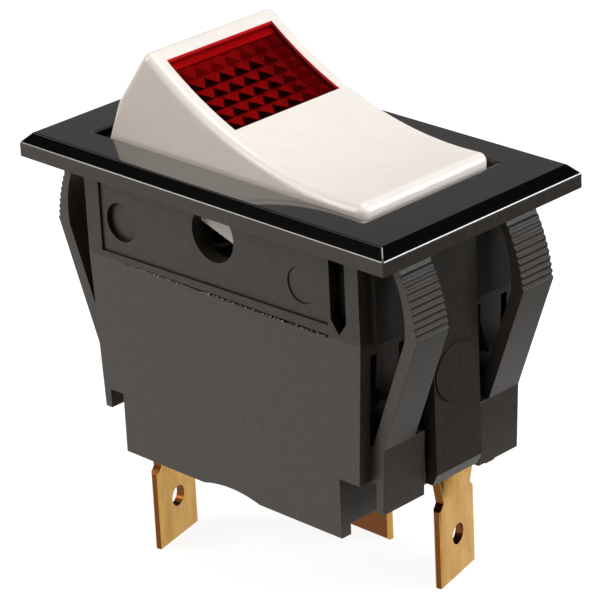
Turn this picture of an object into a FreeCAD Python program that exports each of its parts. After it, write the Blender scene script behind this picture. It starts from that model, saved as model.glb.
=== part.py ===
"""Panel rocker switch with an illuminated rocker, four snap arms and three blade terminals.

Millimetres. The origin is the centre of the underside of the bezel, where it rests on the panel.
X runs along the bezel, Y runs into the panel slot's width and Z points out of the panel.
The rocker is at rest with its right end, towards +X, pressed: the switch is off.
"""
import FreeCAD
import Part

import math
import os

import Sketcher

Vector = FreeCAD.Vector

# Driving dimensions

SIZES = {
    # overlaps of cuts and of joined blocks
    "cut_margin": "1.0",
    "block_overlap": "0.5",
    # bezel and its opening
    "bezel_length": "44.5",
    "bezel_width": "25.0",
    "bezel_side": "1.3",
    "bezel_height": "2.2",
    "bevel_width": "0.9",
    "opening_half_length": "16.4",
    "opening_right_extra": "0.9",
    "opening_gap": "0.31",
    # upper shell below the bezel
    "body_half_width": "9.93",
    "body_half_length": "16.78",
    "seam_depth": "8.74",
    "end_panel_half_length": "17.5",
    "end_panel_wall": "0.7",
    "arm_far_side": "8.66",
    "panel_recess": "0.2",
    "panel_left": "15.0",
    "panel_right": "13.1",
    "panel_top": "1.0",
    "ledge_left": "8.1",
    "ledge_right": "7.65",
    "slot_middle": "14.33",
    "slot_half_width": "0.91",
    "slot_shoulder": "7.0",
    "slot_point": "8.25",
    "slot_recess": "1.2",
    "left_disc_x": "12.45",
    "left_disc_radius": "1.85",
    "right_disc_x": "9.95",
    "right_disc_radius": "1.7",
    "disc_depth": "4.9",
    "left_disc_recess": "0.45",
    "right_disc_recess": "0.12",
    "tongue_half_width": "2.9",
    "tongue_face": "18.5",
    "tongue_wall": "1.4",
    "tongue_depth": "24.0",
    "tongue_chamfer": "1.1",
    "tongue_chamfer_run": "0.55",
    "tongue_disc_radius": "2.7",
    "tongue_disc_depth": "13.9",
    "tongue_disc_rise": "0.12",
    # lower housing
    "housing_wall": "1.15",
    "housing_foot_half_length": "15.99",
    "notch_depth": "21.98",
    "base_half_length": "13.6",
    "front_wall_depth": "27.75",
    "base_depth": "26.7",
    "floor_wall": "1.5",
    "scallop_half_width": "3.5",
    "scallop_rise": "0.5",
    "cavity_half_length": "14.4",
    "cavity_depth": "20.9",
    "well_half_length": "12.15",
    "end_recess": "15.6",
    "end_rim_depth": "9.9",
    "pad_inner": "5.2",
    "pad_outer": "7.9",
    "pad_middle": "6.45",
    "pad_inner_depth": "11.5",
    "pad_outer_depth": "13.0",
    "pad_point": "15.1",
    # snap arms
    "arm_near_side": "4.75",
    "web_near_side": "3.54",
    "arm_root_face": "17.82",
    "arm_root_depth": "18.5",
    "arm_plate_wall": "1.1",
    "arm_plate_depth": "24.75",
    "arm_plate_taper": "0.33",
    "arm_spread": "4.39",
    "arm_belly_depth": "8.45",
    "arm_crest_radius": "14.7",
    "arm_kink_depth": "7.1",
    "arm_tip_depth": "1.2",
    "arm_tip_wall": "0.87",
    "arm_wall": "1.31",
    "arm_bend_depth": "7.6",
    "arm_bend_radius": "9.9",
    "serration_depth": "0.22",
    # rocker
    "pivot_left": "0.7",
    "pivot_depth": "3.05",
    "rest_tilt": "18",
    "rocker_half_width": "7.94",
    "rocker_wall": "1.2",
    "rocker_roof": "1.5",
    "rocker_top_half": "13.2",
    "rocker_top_end": "10.8",
    "rocker_top_middle": "8.3",
    "rocker_waist_half": "15.35",
    "rocker_waist_height": "4.3",
    "rocker_foot_half": "15.75",
    "rocker_foot_drop": "0.5",
    "rocker_roof_inset": "0.84",
    "rocker_edge_round": "0.8",
    "rocker_right_extra": "0.6",
    "trunnion_radius": "2.5",
    "trunnion_clearance": "0.06",
    "trunnion_length": "0.75",
    "trunnion_flat": "-0.3",
    "tube_radius": "3.0",
    "tube_drop": "9.5",
    "spring_seat": "1.0",
    # lens
    "lens_left": "11.7",
    "lens_right": "2.5",
    "lens_half_width": "6.5",
    "lens_clearance": "0.04",
    "lens_flange": "0.9",
    "lens_flange_lap": "0.2",
    "prism_depth": "0.6",
    # plunger and its spring
    "plunger_radius": "1.8",
    "plunger_clearance": "0.05",
    "plunger_reach": "14.0",
    "plunger_length": "9.0",
    "plunger_bore_depth": "5.0",
    "plunger_bore_radius": "1.35",
    "spring_wire": "0.22",
    "spring_radius": "1.05",
    "spring_turns": "5",
    # see-saw contact blade
    "blade_pivot_depth": "18.4",
    "blade_rest_tilt": "6",
    "fulcrum_radius": "0.5",
    "fulcrum_clearance": "0.06",
    "blade_wall": "0.7",
    "blade_half_width": "2.1",
    "dish_half_length": "4.4",
    "dish_rise": "1.2",
    "blade_short_end": "6.3",
    "blade_bend": "9.6",
    "blade_long_end": "13.1",
    "blade_end_drop": "0.45",
    "contact_reach": "11.4",
    "contact_radius": "1.4",
    "contact_height": "0.7",
    "contact_clearance": "0.04",
    "contact_margin": "0.2",
    "fixed_contact_rim": "0.4",
    "fixed_contact_dome": "0.3",
    # terminals
    "tab_half_width": "3.15",
    "tab_wall": "0.8",
    "tab_shoulder": "30.2",
    "tab_shoulder_top": "29.55",
    "tab_tip": "37.9",
    "tab_edge_chamfer": "0.15",
    "tab_hole_depth": "33.7",
    "tab_hole_radius": "1.0",
    "neck_half_width": "2.5",
    "neck_twist": "14",
    "slot_clearance": "0.05",
    "outer_tab_x": "12.6",
    "outer_tab_y": "5.4",
    "middle_tab_x": "0.35",
    "middle_tab_y": "6.7",
    "shelf_half_width": "2.1",
    "ear_gap": "0.15",
    "ear_wall": "0.9",
    "ear_rise": "1.7",
    "lamp_terminal_top": "14.0",
    # lamp circuit
    "lamp_x": "10.5",
    "lamp_radius": "2.1",
    "lamp_top": "2.2",
    "lamp_bottom": "12.2",
    "glass_wall": "0.35",
    "electrode_radius": "0.35",
    "electrode_spacing": "0.75",
    "electrode_length": "5.0",
    "pinch_height": "1.7",
    "lead_radius": "0.25",
    "lead_bend": "0.8",
    "return_lead_depth": "15.5",
    "return_lead_y": "4.4",
    "holder_wall": "0.9",
    "holder_clearance": "0.05",
    "holder_ring": "3.5",
    "holder_leg_half_width": "1.4",
    "holder_leg_overlap": "0.27",
    "holder_leg_inset": "0.15",
    "holder_foot": "1.0",
    "holder_foot_half_width": "3.0",
    "holder_foot_left": "11.9",
    "resistor_radius": "1.15",
    "resistor_waist": "0.9",
    "resistor_cap": "1.4",
    "resistor_length": "6.3",
    "resistor_left": "7.0",
    "resistor_y": "5.2",
    "resistor_depth": "13.7",
    "supply_lead_end": "11.0",
    "sleeve_radius": "0.5",
    "sleeve_gap": "0.03",
    "sleeve_start": "1.0",
    "sleeve_length": "7.0",
}


# Tolerances of the tests on edges and cuts

TOUCH = 1e-6
NEAR = 0.01
LEAST_CUT = 1e-4


class Size:
    """A length or angle as a number, together with the sheet expression that gives it."""

    def __init__(self, number, text):
        self.number = number
        self.text = text

    def __add__(self, other):
        other = as_size(other)
        return Size(self.number + other.number, f"({self.text} + {other.text})")

    def __sub__(self, other):
        other = as_size(other)
        return Size(self.number - other.number, f"({self.text} - {other.text})")

    def __mul__(self, other):
        other = as_size(other)
        return Size(self.number * other.number, f"({self.text} * {other.text})")

    def __truediv__(self, other):
        other = as_size(other)
        return Size(self.number / other.number, f"({self.text} / {other.text})")

    def __neg__(self):
        return Size(-self.number, f"(0 - {self.text})")

    def __radd__(self, other):
        return as_size(other) + self

    def __rsub__(self, other):
        return as_size(other) - self

    def __rmul__(self, other):
        return as_size(other) * self

    def __rtruediv__(self, other):
        return as_size(other) / self

    def __float__(self):
        return float(self.number)


def as_size(value):
    if isinstance(value, Size):
        return value
    return Size(float(value), repr(float(value)))


def square_root(value):
    return Size(math.sqrt(value.number), f"sqrt({value.text})")


def sine(angle):
    return Size(math.sin(math.radians(angle.number)), f"sin({angle.text} * 1 deg)")


def cosine(angle):
    return Size(math.cos(math.radians(angle.number)), f"cos({angle.text} * 1 deg)")


ZERO = as_size(0)

doc = FreeCAD.newDocument("rocker_switch")
sheet = doc.addObject("Spreadsheet::Sheet", "Sizes")
for row, (alias, number) in enumerate(SIZES.items(), start=1):
    sheet.set(f"A{row}", alias)
    sheet.set(f"B{row}", number)
    sheet.setAlias(f"B{row}", alias)
doc.recompute()


def size(alias):
    return Size(float(sheet.get(alias)), f"Sizes.{alias}")


def bind(target, path, value):
    """Sets a property to a size and ties it to the sheet."""
    value = as_size(value)
    if "." not in path and "[" not in path:
        setattr(target, path, value.number)
    target.setExpression(path, value.text)


# Sketches and features

def new_body(label):
    body = doc.addObject("PartDesign::Body", label)
    body.Label = label
    return body


def origin_plane(body, role):
    return next(item for item in body.Origin.OriginFeatures if item.Role == role)


def new_sketch(body, role, name, offset=ZERO):
    """An empty sketch on one of the body's origin planes, moved along the plane's normal."""
    sketch = body.newObject("Sketcher::SketchObject", name)
    sketch.AttachmentSupport = [(origin_plane(body, role), "")]
    sketch.MapMode = "FlatFace"
    offset = as_size(offset)
    if offset.text != ZERO.text:
        sketch.AttachmentOffset = FreeCAD.Placement(Vector(0, 0, offset.number), FreeCAD.Rotation())
        sketch.setExpression("AttachmentOffset.Base.z", offset.text)
    return sketch


def flat_point(point):
    return Vector(float(as_size(point[0])), float(as_size(point[1])), 0)


def draw_outline(sketch, points, arcs=None):
    """Draws a closed outline through points. arcs gives, for the span that starts at a point's index,
    the radius of the arc and the side that it bulges to: 1 to the left of the way along, -1 to the right."""
    arcs = arcs or {}
    constraints = []
    drivers = []
    ends = []
    count = len(points)
    first = sketch.GeometryCount
    for index in range(count):
        start = flat_point(points[index])
        end = flat_point(points[(index + 1) % count])
        if index in arcs:
            radius, side = arcs[index]
            chord = end - start
            half = chord.Length / 2
            sagitta = radius.number - math.sqrt(radius.number ** 2 - half ** 2)
            left = Vector(-chord.y, chord.x, 0).normalize()
            middle = (start + end) / 2 + left * (side * sagitta)
            sketch.addGeometry(Part.Arc(start, middle, end), False)
            begins_at_start = sketch.getPoint(first + index, 1).distanceToPoint(start) < TOUCH
            ends.append((1, 2) if begins_at_start else (2, 1))
        else:
            sketch.addGeometry(Part.LineSegment(start, end), False)
            ends.append((1, 2))
    for index in range(count):
        following = (index + 1) % count
        here = first + index
        there = first + following
        constraints.append(Sketcher.Constraint("Coincident", here, ends[index][1], there, ends[following][0]))
    for index in range(count):
        for kind, coordinate in zip(("DistanceX", "DistanceY"), points[index]):
            value = as_size(coordinate)
            corner = (first + index, ends[index][0])
            constraints.append(Sketcher.Constraint(kind, -1, 1, corner[0], corner[1], value.number))
            drivers.append((len(constraints) - 1, value))
    for index, (radius, side) in arcs.items():
        constraints.append(Sketcher.Constraint("Radius", first + index, radius.number))
        drivers.append((len(constraints) - 1, radius))
    start_count = sketch.ConstraintCount
    sketch.addConstraint(constraints)
    for place, value in drivers:
        sketch.setExpression(f"Constraints[{start_count + place}]", value.text)


def draw_rectangle(sketch, low_x, high_x, low_y, high_y):
    draw_outline(sketch, [(low_x, low_y), (high_x, low_y), (high_x, high_y), (low_x, high_y)])


def draw_circle(sketch, centre, radius):
    index = sketch.addGeometry(Part.Circle(flat_point(centre), Vector(0, 0, 1), float(radius)), False)
    start_count = sketch.ConstraintCount
    values = [as_size(centre[0]), as_size(centre[1]), as_size(radius)]
    sketch.addConstraint([
        Sketcher.Constraint("DistanceX", -1, 1, index, 3, values[0].number),
        Sketcher.Constraint("DistanceY", -1, 1, index, 3, values[1].number),
        Sketcher.Constraint("Radius", index, values[2].number),
    ])
    for step, value in enumerate(values):
        sketch.setExpression(f"Constraints[{start_count + step}]", value.text)


def add_feature(body, kind, sketch, length, reverse=False, centred=False):
    feature = body.newObject(f"PartDesign::{kind}", f"{sketch.Name}_{kind}")
    feature.Profile = sketch
    bind(feature, "Length", length)
    if centred:
        feature.Midplane = True
    if reverse:
        feature.Reversed = True
    return feature


def pad(body, sketch, length, reverse=False, centred=False):
    return add_feature(body, "Pad", sketch, length, reverse, centred)


def pocket(body, sketch, length, reverse=False, centred=False):
    """Cuts the sketch's outline out of the body, and makes sure that it does cut."""
    doc.recompute()
    before = body.Shape.Volume
    feature = add_feature(body, "Pocket", sketch, length, reverse, centred)
    doc.recompute()
    if body.Shape.Volume > before - LEAST_CUT:
        raise RuntimeError(f"{feature.Name} cuts nothing")
    return feature


def loft(body, kind, sections):
    feature = body.newObject(f"PartDesign::{kind}", f"{sections[0].Name}_{kind}")
    feature.Profile = sections[0]
    feature.Sections = sections[1:]
    feature.Ruled = True
    return feature


def edges_where(shape, test):
    return [f"Edge{number}" for number, edge in enumerate(shape.Edges, start=1) if test(edge)]


def place(body, base, axis=None, angle=None):
    """Puts a body at a place and turns it about an axis, both tied to the sheet."""
    turn = FreeCAD.Rotation()
    if axis is not None:
        turn = FreeCAD.Rotation(axis, float(angle))
    numbers = [float(as_size(value)) for value in base]
    body.Placement = FreeCAD.Placement(Vector(*numbers), turn)
    for letter, value in zip("xyz", base):
        body.setExpression(f"Placement.Base.{letter}", as_size(value).text)
    if axis is not None:
        body.setExpression("Placement.Rotation.Angle", as_size(angle).text)


# Places that several pieces share

pivot_x = -size("pivot_left")
pivot_z = -size("pivot_depth")
seam_z = -size("seam_depth")
opening_half_width = size("rocker_half_width") + size("opening_gap")
cavity_end = size("end_panel_half_length") - size("end_panel_wall")
floor_top = size("floor_wall") - size("base_depth")
bore_radius = size("plunger_radius") + size("plunger_clearance")
blade_pivot_z = -size("blade_pivot_depth")


def make_bezel_frame():
    body = new_body("bezel_frame")
    half_length = size("bezel_length") / 2
    half_width = size("bezel_width") / 2
    flange = new_sketch(body, "XY_Plane", "flange")
    draw_rectangle(flange, -half_length, half_length, -half_width, half_width)
    pad(body, flange, size("bezel_side"))
    bevel_foot = new_sketch(body, "XY_Plane", "bevel_foot", size("bezel_side"))
    draw_rectangle(bevel_foot, -half_length, half_length, -half_width, half_width)
    bevel_top = new_sketch(body, "XY_Plane", "bevel_top", size("bezel_height"))
    inner_length = half_length - size("bevel_width")
    inner_width = half_width - size("bevel_width")
    draw_rectangle(bevel_top, -inner_length, inner_length, -inner_width, inner_width)
    loft(body, "AdditiveLoft", [bevel_foot, bevel_top])
    skirt = new_sketch(body, "XY_Plane", "skirt")
    outer = size("body_half_length")
    width = size("body_half_width")
    end = size("end_panel_half_length")
    arm_side = size("arm_far_side")
    draw_outline(skirt, [
        (-outer, -width), (outer, -width), (outer, -arm_side), (end, -arm_side), (end, arm_side),
        (outer, arm_side), (outer, width), (-outer, width), (-outer, arm_side), (-end, arm_side),
        (-end, -arm_side), (-outer, -arm_side),
    ])
    pad(body, skirt, size("seam_depth"), reverse=True)
    for side in (-1, 1):
        face = side * size("tongue_face")
        inner = side * (size("tongue_face") - size("tongue_wall"))
        tongue = new_sketch(body, "XZ_Plane", f"tongue_{side + 1}")
        depth = -size("tongue_depth")
        chamfer = size("tongue_chamfer")
        draw_outline(tongue, [
            (inner, ZERO), (face, ZERO), (face, depth + chamfer),
            (side * (size("tongue_face") - size("tongue_chamfer_run")), depth), (inner, depth),
        ])
        pad(body, tongue, 2 * size("tongue_half_width"), centred=True)
        mark = new_sketch(body, "YZ_Plane", f"mark_{side + 1}", face)
        draw_circle(mark, (ZERO, -size("tongue_disc_depth")), size("tongue_disc_radius"))
        pad(body, mark, size("tongue_disc_rise"), reverse=side < 0)
    cavity = new_sketch(body, "XY_Plane", "cavity")
    draw_rectangle(cavity, -cavity_end, cavity_end, -opening_half_width, opening_half_width)
    pocket(body, cavity, size("seam_depth"))
    opening = new_sketch(body, "XY_Plane", "opening")
    reach = size("opening_half_length")
    opening_right = pivot_x + reach + size("opening_right_extra")
    draw_rectangle(opening, pivot_x - reach, opening_right, -opening_half_width, opening_half_width)
    pocket(body, opening, size("bezel_height"), reverse=True)
    for side in (-1, 1):
        face = side * width
        panel = new_sketch(body, "XZ_Plane", f"panel_{side + 1}", -face)
        right = size("panel_right")
        draw_outline(panel, [
            (-size("panel_left"), -size("ledge_left")), (right, -size("ledge_right")),
            (right, -size("panel_top")), (-size("panel_left"), -size("panel_top")),
        ])
        pocket(body, panel, size("panel_recess"), reverse=side > 0)
        slot = new_sketch(body, "XZ_Plane", f"slot_{side + 1}", -face)
        middle = size("slot_middle")
        half = size("slot_half_width")
        draw_outline(slot, [
            (middle - half, -size("slot_shoulder")), (middle, -size("slot_point")),
            (middle + half, -size("slot_shoulder")), (middle + half, -size("panel_top")),
            (middle - half, -size("panel_top")),
        ])
        pocket(body, slot, size("slot_recess"), reverse=side > 0)
        for name, disc_x, radius, depth in (
            ("left_disc", -size("left_disc_x"), size("left_disc_radius"), size("left_disc_recess")),
            ("right_disc", size("right_disc_x"), size("right_disc_radius"), size("right_disc_recess")),
        ):
            disc = new_sketch(body, "XZ_Plane", f"{name}_{side + 1}", -face)
            draw_circle(disc, (disc_x, -size("disc_depth")), radius)
            pocket(body, disc, size("panel_recess") + depth, reverse=side > 0)
    bearing = new_sketch(body, "XZ_Plane", "bearing")
    draw_circle(bearing, (pivot_x, pivot_z), size("trunnion_radius") + size("trunnion_clearance"))
    pocket(body, bearing, size("bezel_width"), centred=True)
    return body


SERRATIONS = 10


def arm_crest(depth):
    """The reach of the arm's serrated back, an arc whose furthest point lies at the belly."""
    radius = size("arm_crest_radius")
    below = depth - size("arm_belly_depth")
    belly = size("arm_root_face") + size("arm_spread")
    return belly - radius + square_root(radius * radius - below * below)


def arm_outline():
    """The outline of a snap arm seen from the front: a serrated head, a slanted spring and a root plate."""
    tip = size("arm_tip_depth")
    kink = size("arm_kink_depth")
    tooth = size("serration_depth")
    pitch = (kink - tip) / SERRATIONS
    outer = [(arm_crest(tip), -tip)]
    for number in range(1, SERRATIONS + 1):
        depth = tip + pitch * number
        outer.append((arm_crest(depth) - tooth, tooth - depth))
        outer.append((arm_crest(depth), -depth))
    root = size("arm_root_face")
    root_depth = size("arm_root_depth")
    plate = root - size("arm_plate_wall")
    plate_taper = size("arm_plate_taper")
    wall = size("arm_wall")
    bend = size("arm_bend_depth")
    slope = (arm_crest(kink) - root) / (root_depth - kink)
    bend_reach = arm_crest(kink) - slope * (bend - kink) - wall
    return outer + [
        (root, -root_depth),
        (root - plate_taper, -size("arm_plate_depth")),
        (plate, -size("arm_plate_depth")),
        (plate, -root_depth),
        (root - wall, -root_depth),
        (bend_reach, -bend),
        (arm_crest(tip) - size("arm_tip_wall"), -tip),
    ]


def make_lower_housing():
    body = new_body("lower_housing")
    width = size("body_half_width")
    top = new_sketch(body, "XY_Plane", "housing_top", seam_z)
    draw_rectangle(top, -size("body_half_length"), size("body_half_length"), -width, width)
    foot = new_sketch(body, "XY_Plane", "housing_foot", -size("notch_depth"))
    draw_rectangle(foot, -size("housing_foot_half_length"), size("housing_foot_half_length"), -width, width)
    loft(body, "AdditiveLoft", [top, foot])
    base = new_sketch(body, "XY_Plane", "housing_base", -size("notch_depth"))
    draw_rectangle(base, -size("base_half_length"), size("base_half_length"), -width, width)
    pad(body, base, size("front_wall_depth") - size("notch_depth"), reverse=True)
    inner_width = width - size("housing_wall")
    under = new_sketch(body, "XY_Plane", "housing_under", -size("front_wall_depth"))
    reach = size("base_half_length") + size("cut_margin")
    draw_rectangle(under, -reach, reach, -inner_width, inner_width)
    pocket(body, under, size("front_wall_depth") - size("base_depth"), reverse=True)
    for side in (-1, 1):
        for flank in (-1, 1):
            recess = new_sketch(body, "YZ_Plane", f"recess_{side + 1}_{flank + 1}",
                                side * (size("body_half_length") + size("cut_margin")))
            points = [
                (size("tongue_half_width"), -size("notch_depth") - size("cut_margin")),
                (size("arm_far_side"), -size("notch_depth") - size("cut_margin")),
                (size("arm_far_side"), -size("end_rim_depth")),
                (size("pad_outer"), -size("end_rim_depth")),
                (size("pad_outer"), -size("pad_outer_depth")),
                (size("pad_middle"), -size("pad_point")),
                (size("pad_inner"), -size("pad_inner_depth")),
                (size("pad_inner"), -size("end_rim_depth")),
                (size("tongue_half_width"), -size("end_rim_depth")),
            ]
            draw_outline(recess, [(flank * y, z) for y, z in points])
            pocket(body, recess, size("body_half_length") + size("cut_margin") - size("end_recess"), reverse=side < 0)
            plate_span = size("arm_far_side") - size("web_near_side")
            plate_middle = flank * (size("arm_far_side") + size("web_near_side")) / 2
            block = new_sketch(body, "XZ_Plane", f"block_{side + 1}_{flank + 1}", -plate_middle)
            root = size("arm_root_face")
            low = -size("arm_plate_depth")
            block_points = [
                (size("end_recess") - size("block_overlap"), -size("arm_root_depth")), (root, -size("arm_root_depth")),
                (root - size("arm_plate_taper"), low), (root - size("arm_plate_wall"), low),
                (root - size("arm_plate_wall"), -size("notch_depth")),
                (size("end_recess") - size("block_overlap"), -size("notch_depth")),
            ]
            draw_outline(block, [(side * x, z) for x, z in block_points])
            pad(body, block, plate_span, centred=True)
            arm_span = size("arm_far_side") - size("arm_near_side")
            arm_middle = flank * (size("arm_far_side") + size("arm_near_side")) / 2
            arm = new_sketch(body, "XZ_Plane", f"arm_{side + 1}_{flank + 1}", -arm_middle)
            outline = [(side * x, z) for x, z in arm_outline()]
            draw_outline(arm, outline, {len(outline) - 2: (size("arm_bend_radius"), -side)})
            pad(body, arm, arm_span, centred=True)
    cavity = new_sketch(body, "XY_Plane", "housing_cavity", seam_z)
    reach = size("cavity_half_length")
    draw_rectangle(cavity, -reach, reach, -inner_width, inner_width)
    pocket(body, cavity, size("cavity_depth") - size("seam_depth"))
    well = new_sketch(body, "XY_Plane", "housing_well", -size("cavity_depth"))
    reach = size("well_half_length")
    draw_rectangle(well, -reach, reach, -inner_width, inner_width)
    pocket(body, well, -floor_top - size("cavity_depth"))
    scallop = new_sketch(body, "XZ_Plane", "scallop")
    half = size("scallop_half_width")
    rise = size("scallop_rise")
    bottom = -size("front_wall_depth")
    radius = (half * half + rise * rise) / (2 * rise)
    draw_outline(scallop, [(-half, bottom), (half, bottom)], {1: (radius, -1)})
    pocket(body, scallop, 3 * width, centred=True)
    slots = new_sketch(body, "XY_Plane", "terminal_slots", -size("base_depth"))
    gap = size("slot_clearance")
    thick = size("tab_wall") / 2 + gap
    wide = size("neck_half_width") + gap
    for x, y in ((-size("outer_tab_x"), -size("outer_tab_y")), (size("outer_tab_x"), size("outer_tab_y"))):
        draw_rectangle(slots, x - thick, x + thick, y - wide, y + wide)
    middle_x = size("middle_tab_x")
    middle_y = size("middle_tab_y")
    draw_rectangle(slots, middle_x - wide, middle_x + wide, middle_y - thick, middle_y + thick)
    pocket(body, slots, size("base_depth") - size("cavity_depth"), reverse=True)
    return body


def rocker_arc_radius(extra):
    """The radius of the dished top, or of a surface that lies a distance below it."""
    half = size("rocker_top_half")
    dish = size("rocker_top_end") - size("rocker_top_middle")
    return (half * half + dish * dish) / (2 * dish) + extra


def dish_height(x, extra):
    """The height of the dished top, or of a surface a distance below it, at a distance from the middle."""
    radius = rocker_arc_radius(extra)
    centre = size("rocker_top_middle") + rocker_arc_radius(ZERO)
    return centre - square_root(radius * radius - x * x)


def make_rocker():
    body = new_body("rocker")
    top = size("rocker_top_half")
    waist = size("rocker_waist_half")
    foot = size("rocker_foot_half")
    drop = size("rocker_foot_drop")
    extra = size("rocker_right_extra")
    outline = new_sketch(body, "XZ_Plane", "rocker_outline")
    draw_outline(outline, [
        (-foot, -drop), (foot + extra, -drop), (waist + extra, size("rocker_waist_height")),
        (top + extra, dish_height(top + extra, ZERO)), (-top, size("rocker_top_end")),
        (-waist, size("rocker_waist_height")),
    ], {3: (rocker_arc_radius(ZERO), 1)})
    solid = pad(body, outline, 2 * size("rocker_half_width"), centred=True)
    doc.recompute()
    upper = float(size("rocker_waist_height"))
    lowest = -float(size("rocker_foot_drop"))
    side_face = float(size("rocker_half_width"))

    def is_upper_edge(edge):
        box = edge.BoundBox
        on_side = box.YLength < TOUCH and abs(abs(box.YMin) - side_face) < TOUCH
        across = box.YLength > side_face and box.ZMin > upper + NEAR
        return (on_side and box.ZMax > upper - NEAR and box.ZMin > lowest - NEAR) or across

    rounded = body.newObject("PartDesign::Fillet", "rocker_rounding")
    rounded.Base = (solid, edges_where(solid.Shape, is_upper_edge))
    bind(rounded, "Radius", size("rocker_edge_round"))
    wall = size("rocker_wall")
    roof = size("rocker_roof")
    inner_half = top - size("rocker_roof_inset")
    hollow = new_sketch(body, "XZ_Plane", "rocker_hollow")
    inner_foot = foot - wall
    low = -2 * drop
    draw_outline(hollow, [
        (-inner_foot, low), (inner_foot + extra, low), (waist + extra - wall, size("rocker_waist_height")),
        (inner_half + extra, dish_height(inner_half + extra, roof)), (-inner_half, dish_height(inner_half, roof)),
        (wall - waist, size("rocker_waist_height")),
    ], {3: (rocker_arc_radius(roof), 1)})
    pocket(body, hollow, 2 * (size("rocker_half_width") - wall), centred=True)
    tube = new_sketch(body, "XY_Plane", "plunger_tube", -size("tube_drop"))
    draw_circle(tube, (ZERO, ZERO), size("tube_radius"))
    pad(body, tube, size("tube_drop") + size("rocker_top_middle") - roof / 2)
    window = new_sketch(body, "XY_Plane", "lens_window", size("rocker_waist_height"))
    draw_rectangle(window, -size("lens_left"), -size("lens_right"), -size("lens_half_width"), size("lens_half_width"))
    pocket(body, window, size("rocker_top_end"), reverse=True)
    for side in (-1, 1):
        trunnion = new_sketch(body, "XZ_Plane", f"trunnion_{side + 1}", -side * size("rocker_half_width"))
        draw_d_shape(trunnion, size("trunnion_radius"), size("trunnion_flat"))
        pad(body, trunnion, size("trunnion_length"), reverse=side > 0)
    bore = new_sketch(body, "XY_Plane", "plunger_bore", -size("tube_drop"))
    draw_circle(bore, (ZERO, ZERO), bore_radius)
    pocket(body, bore, size("tube_drop") + size("spring_seat"), reverse=True)
    place(body, (pivot_x, ZERO, pivot_z), Vector(0, 1, 0), size("rest_tilt"))
    return body


def draw_d_shape(sketch, radius, flat):
    """A round outline whose lower part is cut away by a flat near its centre."""
    half = square_root(radius * radius - flat * flat)
    start = Vector(-half.number, flat.number, 0)
    end = Vector(half.number, flat.number, 0)
    sketch.addGeometry(Part.Arc(start, Vector(0, radius.number, 0), end), False)
    begins_at_start = sketch.getPoint(0, 1).distanceToPoint(start) < TOUCH
    first, second = (1, 2) if begins_at_start else (2, 1)
    sketch.addGeometry(Part.LineSegment(end, start), False)
    sketch.addConstraint([
        Sketcher.Constraint("Coincident", 0, second, 1, 1),
        Sketcher.Constraint("Coincident", 0, first, 1, 2),
        Sketcher.Constraint("Coincident", 0, 3, -1, 1),
        Sketcher.Constraint("Horizontal", 1),
        Sketcher.Constraint("Radius", 0, radius.number),
        Sketcher.Constraint("DistanceY", -1, 1, 1, 1, flat.number),
    ])
    sketch.setExpression("Constraints[4]", radius.text)
    sketch.setExpression("Constraints[5]", flat.text)


PRISM_ROWS = 6


def make_lens():
    """The window of the rocker, flush with its dished top, on a flange with prisms on its underside."""
    body = new_body("lens")
    gap = size("lens_clearance")
    roof = size("rocker_roof")
    left = -size("lens_left") + gap
    right = -size("lens_right") - gap
    plate = new_sketch(body, "XZ_Plane", "lens_plate")
    below = roof + gap
    draw_outline(plate, [
        (left, dish_height(left, below)), (right, dish_height(right, below)),
        (right, dish_height(right, ZERO)), (left, dish_height(left, ZERO)),
    ], {0: (rocker_arc_radius(below), -1), 2: (rocker_arc_radius(ZERO), 1)})
    pad(body, plate, 2 * (size("lens_half_width") - gap), centred=True)
    flange = new_sketch(body, "XZ_Plane", "lens_flange")
    lap = size("lens_flange_lap")
    low = roof + gap + size("lens_flange")
    flange_left = left - lap / 2
    flange_right = right
    pitch = (flange_right - flange_left) / PRISM_ROWS
    underside = []
    for row in range(PRISM_ROWS):
        ridge = flange_left + row * pitch
        valley = ridge + pitch / 2
        underside.append((ridge, dish_height(ridge, low)))
        underside.append((valley, dish_height(valley, low) + size("prism_depth")))
    underside.append((flange_right, dish_height(flange_right, low)))
    draw_outline(flange, underside + [
        (flange_right, dish_height(flange_right, below)), (flange_left, dish_height(flange_left, below)),
    ], {len(underside): (rocker_arc_radius(below), 1)})
    pad(body, flange, 2 * (size("lens_half_width") + lap), centred=True)
    place(body, (pivot_x, ZERO, pivot_z), Vector(0, 1, 0), size("rest_tilt"))
    return body


def make_plunger():
    """A turned pin with a round nose and a bore for the spring, in the rocker's frame."""
    body = new_body("plunger")
    radius = size("plunger_radius")
    tip = -size("plunger_reach")
    top = tip + size("plunger_length")
    bore = size("plunger_bore_radius")
    seat = top - size("plunger_bore_depth")
    half = new_sketch(body, "XZ_Plane", "plunger_half")
    draw_outline(half, [
        (ZERO, tip), (radius, tip + radius), (radius, top), (bore, top), (bore, seat), (ZERO, seat),
    ], {0: (radius, -1)})
    turn = body.newObject("PartDesign::Revolution", "plunger_turn")
    turn.Profile = half
    turn.ReferenceAxis = (half, ["V_Axis"])
    turn.Angle = 360
    place(body, (pivot_x, ZERO, pivot_z), Vector(0, 1, 0), size("rest_tilt"))
    return body


class BladeForm:
    """Heights of the see-saw blade above its pivot: a dish over the fulcrum and a flat contact end."""

    def __init__(self):
        self.wall = size("blade_wall")
        self.under = size("fulcrum_radius") + size("fulcrum_clearance")
        self.half = size("dish_half_length")
        self.radius = (self.half * self.half + size("dish_rise") * size("dish_rise")) / (2 * size("dish_rise"))
        self.outer = self.radius + self.wall
        self.side = self.half * self.outer / self.radius
        self.side_height = self.under + self.outer - square_root(self.outer * self.outer - self.side * self.side)
        self.top_side = self.under + self.wall + size("dish_rise")
        self.end_top = self.top_side - size("blade_end_drop")
        self.end_under = self.end_top - self.wall
        self.contact_face = self.end_under - size("contact_height")


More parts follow.
